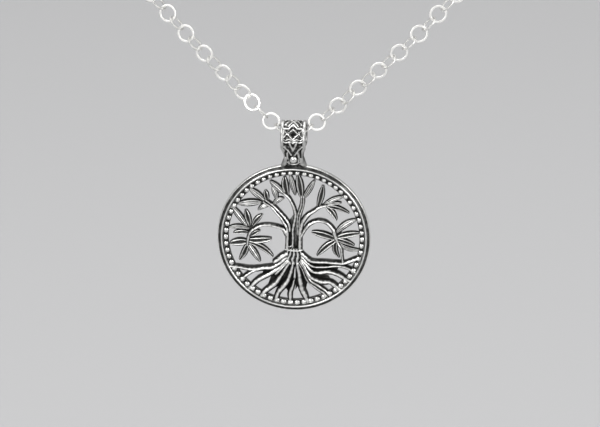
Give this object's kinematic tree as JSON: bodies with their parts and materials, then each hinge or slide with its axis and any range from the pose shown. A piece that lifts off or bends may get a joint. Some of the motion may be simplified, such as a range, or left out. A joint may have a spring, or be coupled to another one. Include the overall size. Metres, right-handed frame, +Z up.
{
  "type": "tree of life pendant necklace",
  "caption": "Round pierced silver pendant of a tree with roots in a beaded rim, hanging by a wide ornate bail from a necklace of flat round links.",
  "frame": {"origin": "the nape, on the chain's centre line where the necklace lies on the back of the neck", "axes": "+Z up, -Y the pendant's front, +X to the right as seen from the front"},
  "size_m": [0.1251, 0.1163, 0.1544],
  "materials": {
    "oxidised_silver": "cast silver, darkened in the recesses and polished on the high parts",
    "bright_silver": "polished silver"
  },
  "bodies": {
    "necklace": {"chain_left": "bright_silver", "chain_right": "bright_silver", "ring_left": "bright_silver", "ring_right": "bright_silver", "clasp": "bright_silver"},
    "pendant": {"pendant": "oxidised_silver"}
  },
  "joints": [
    {"name": "bail_swing", "type": "hinge", "parent": "necklace", "child": "pendant", "pos_m": [0, -0.111, -0.1195], "axis": [1, 0, 0], "range_deg": [-90, 90]}
  ]
}
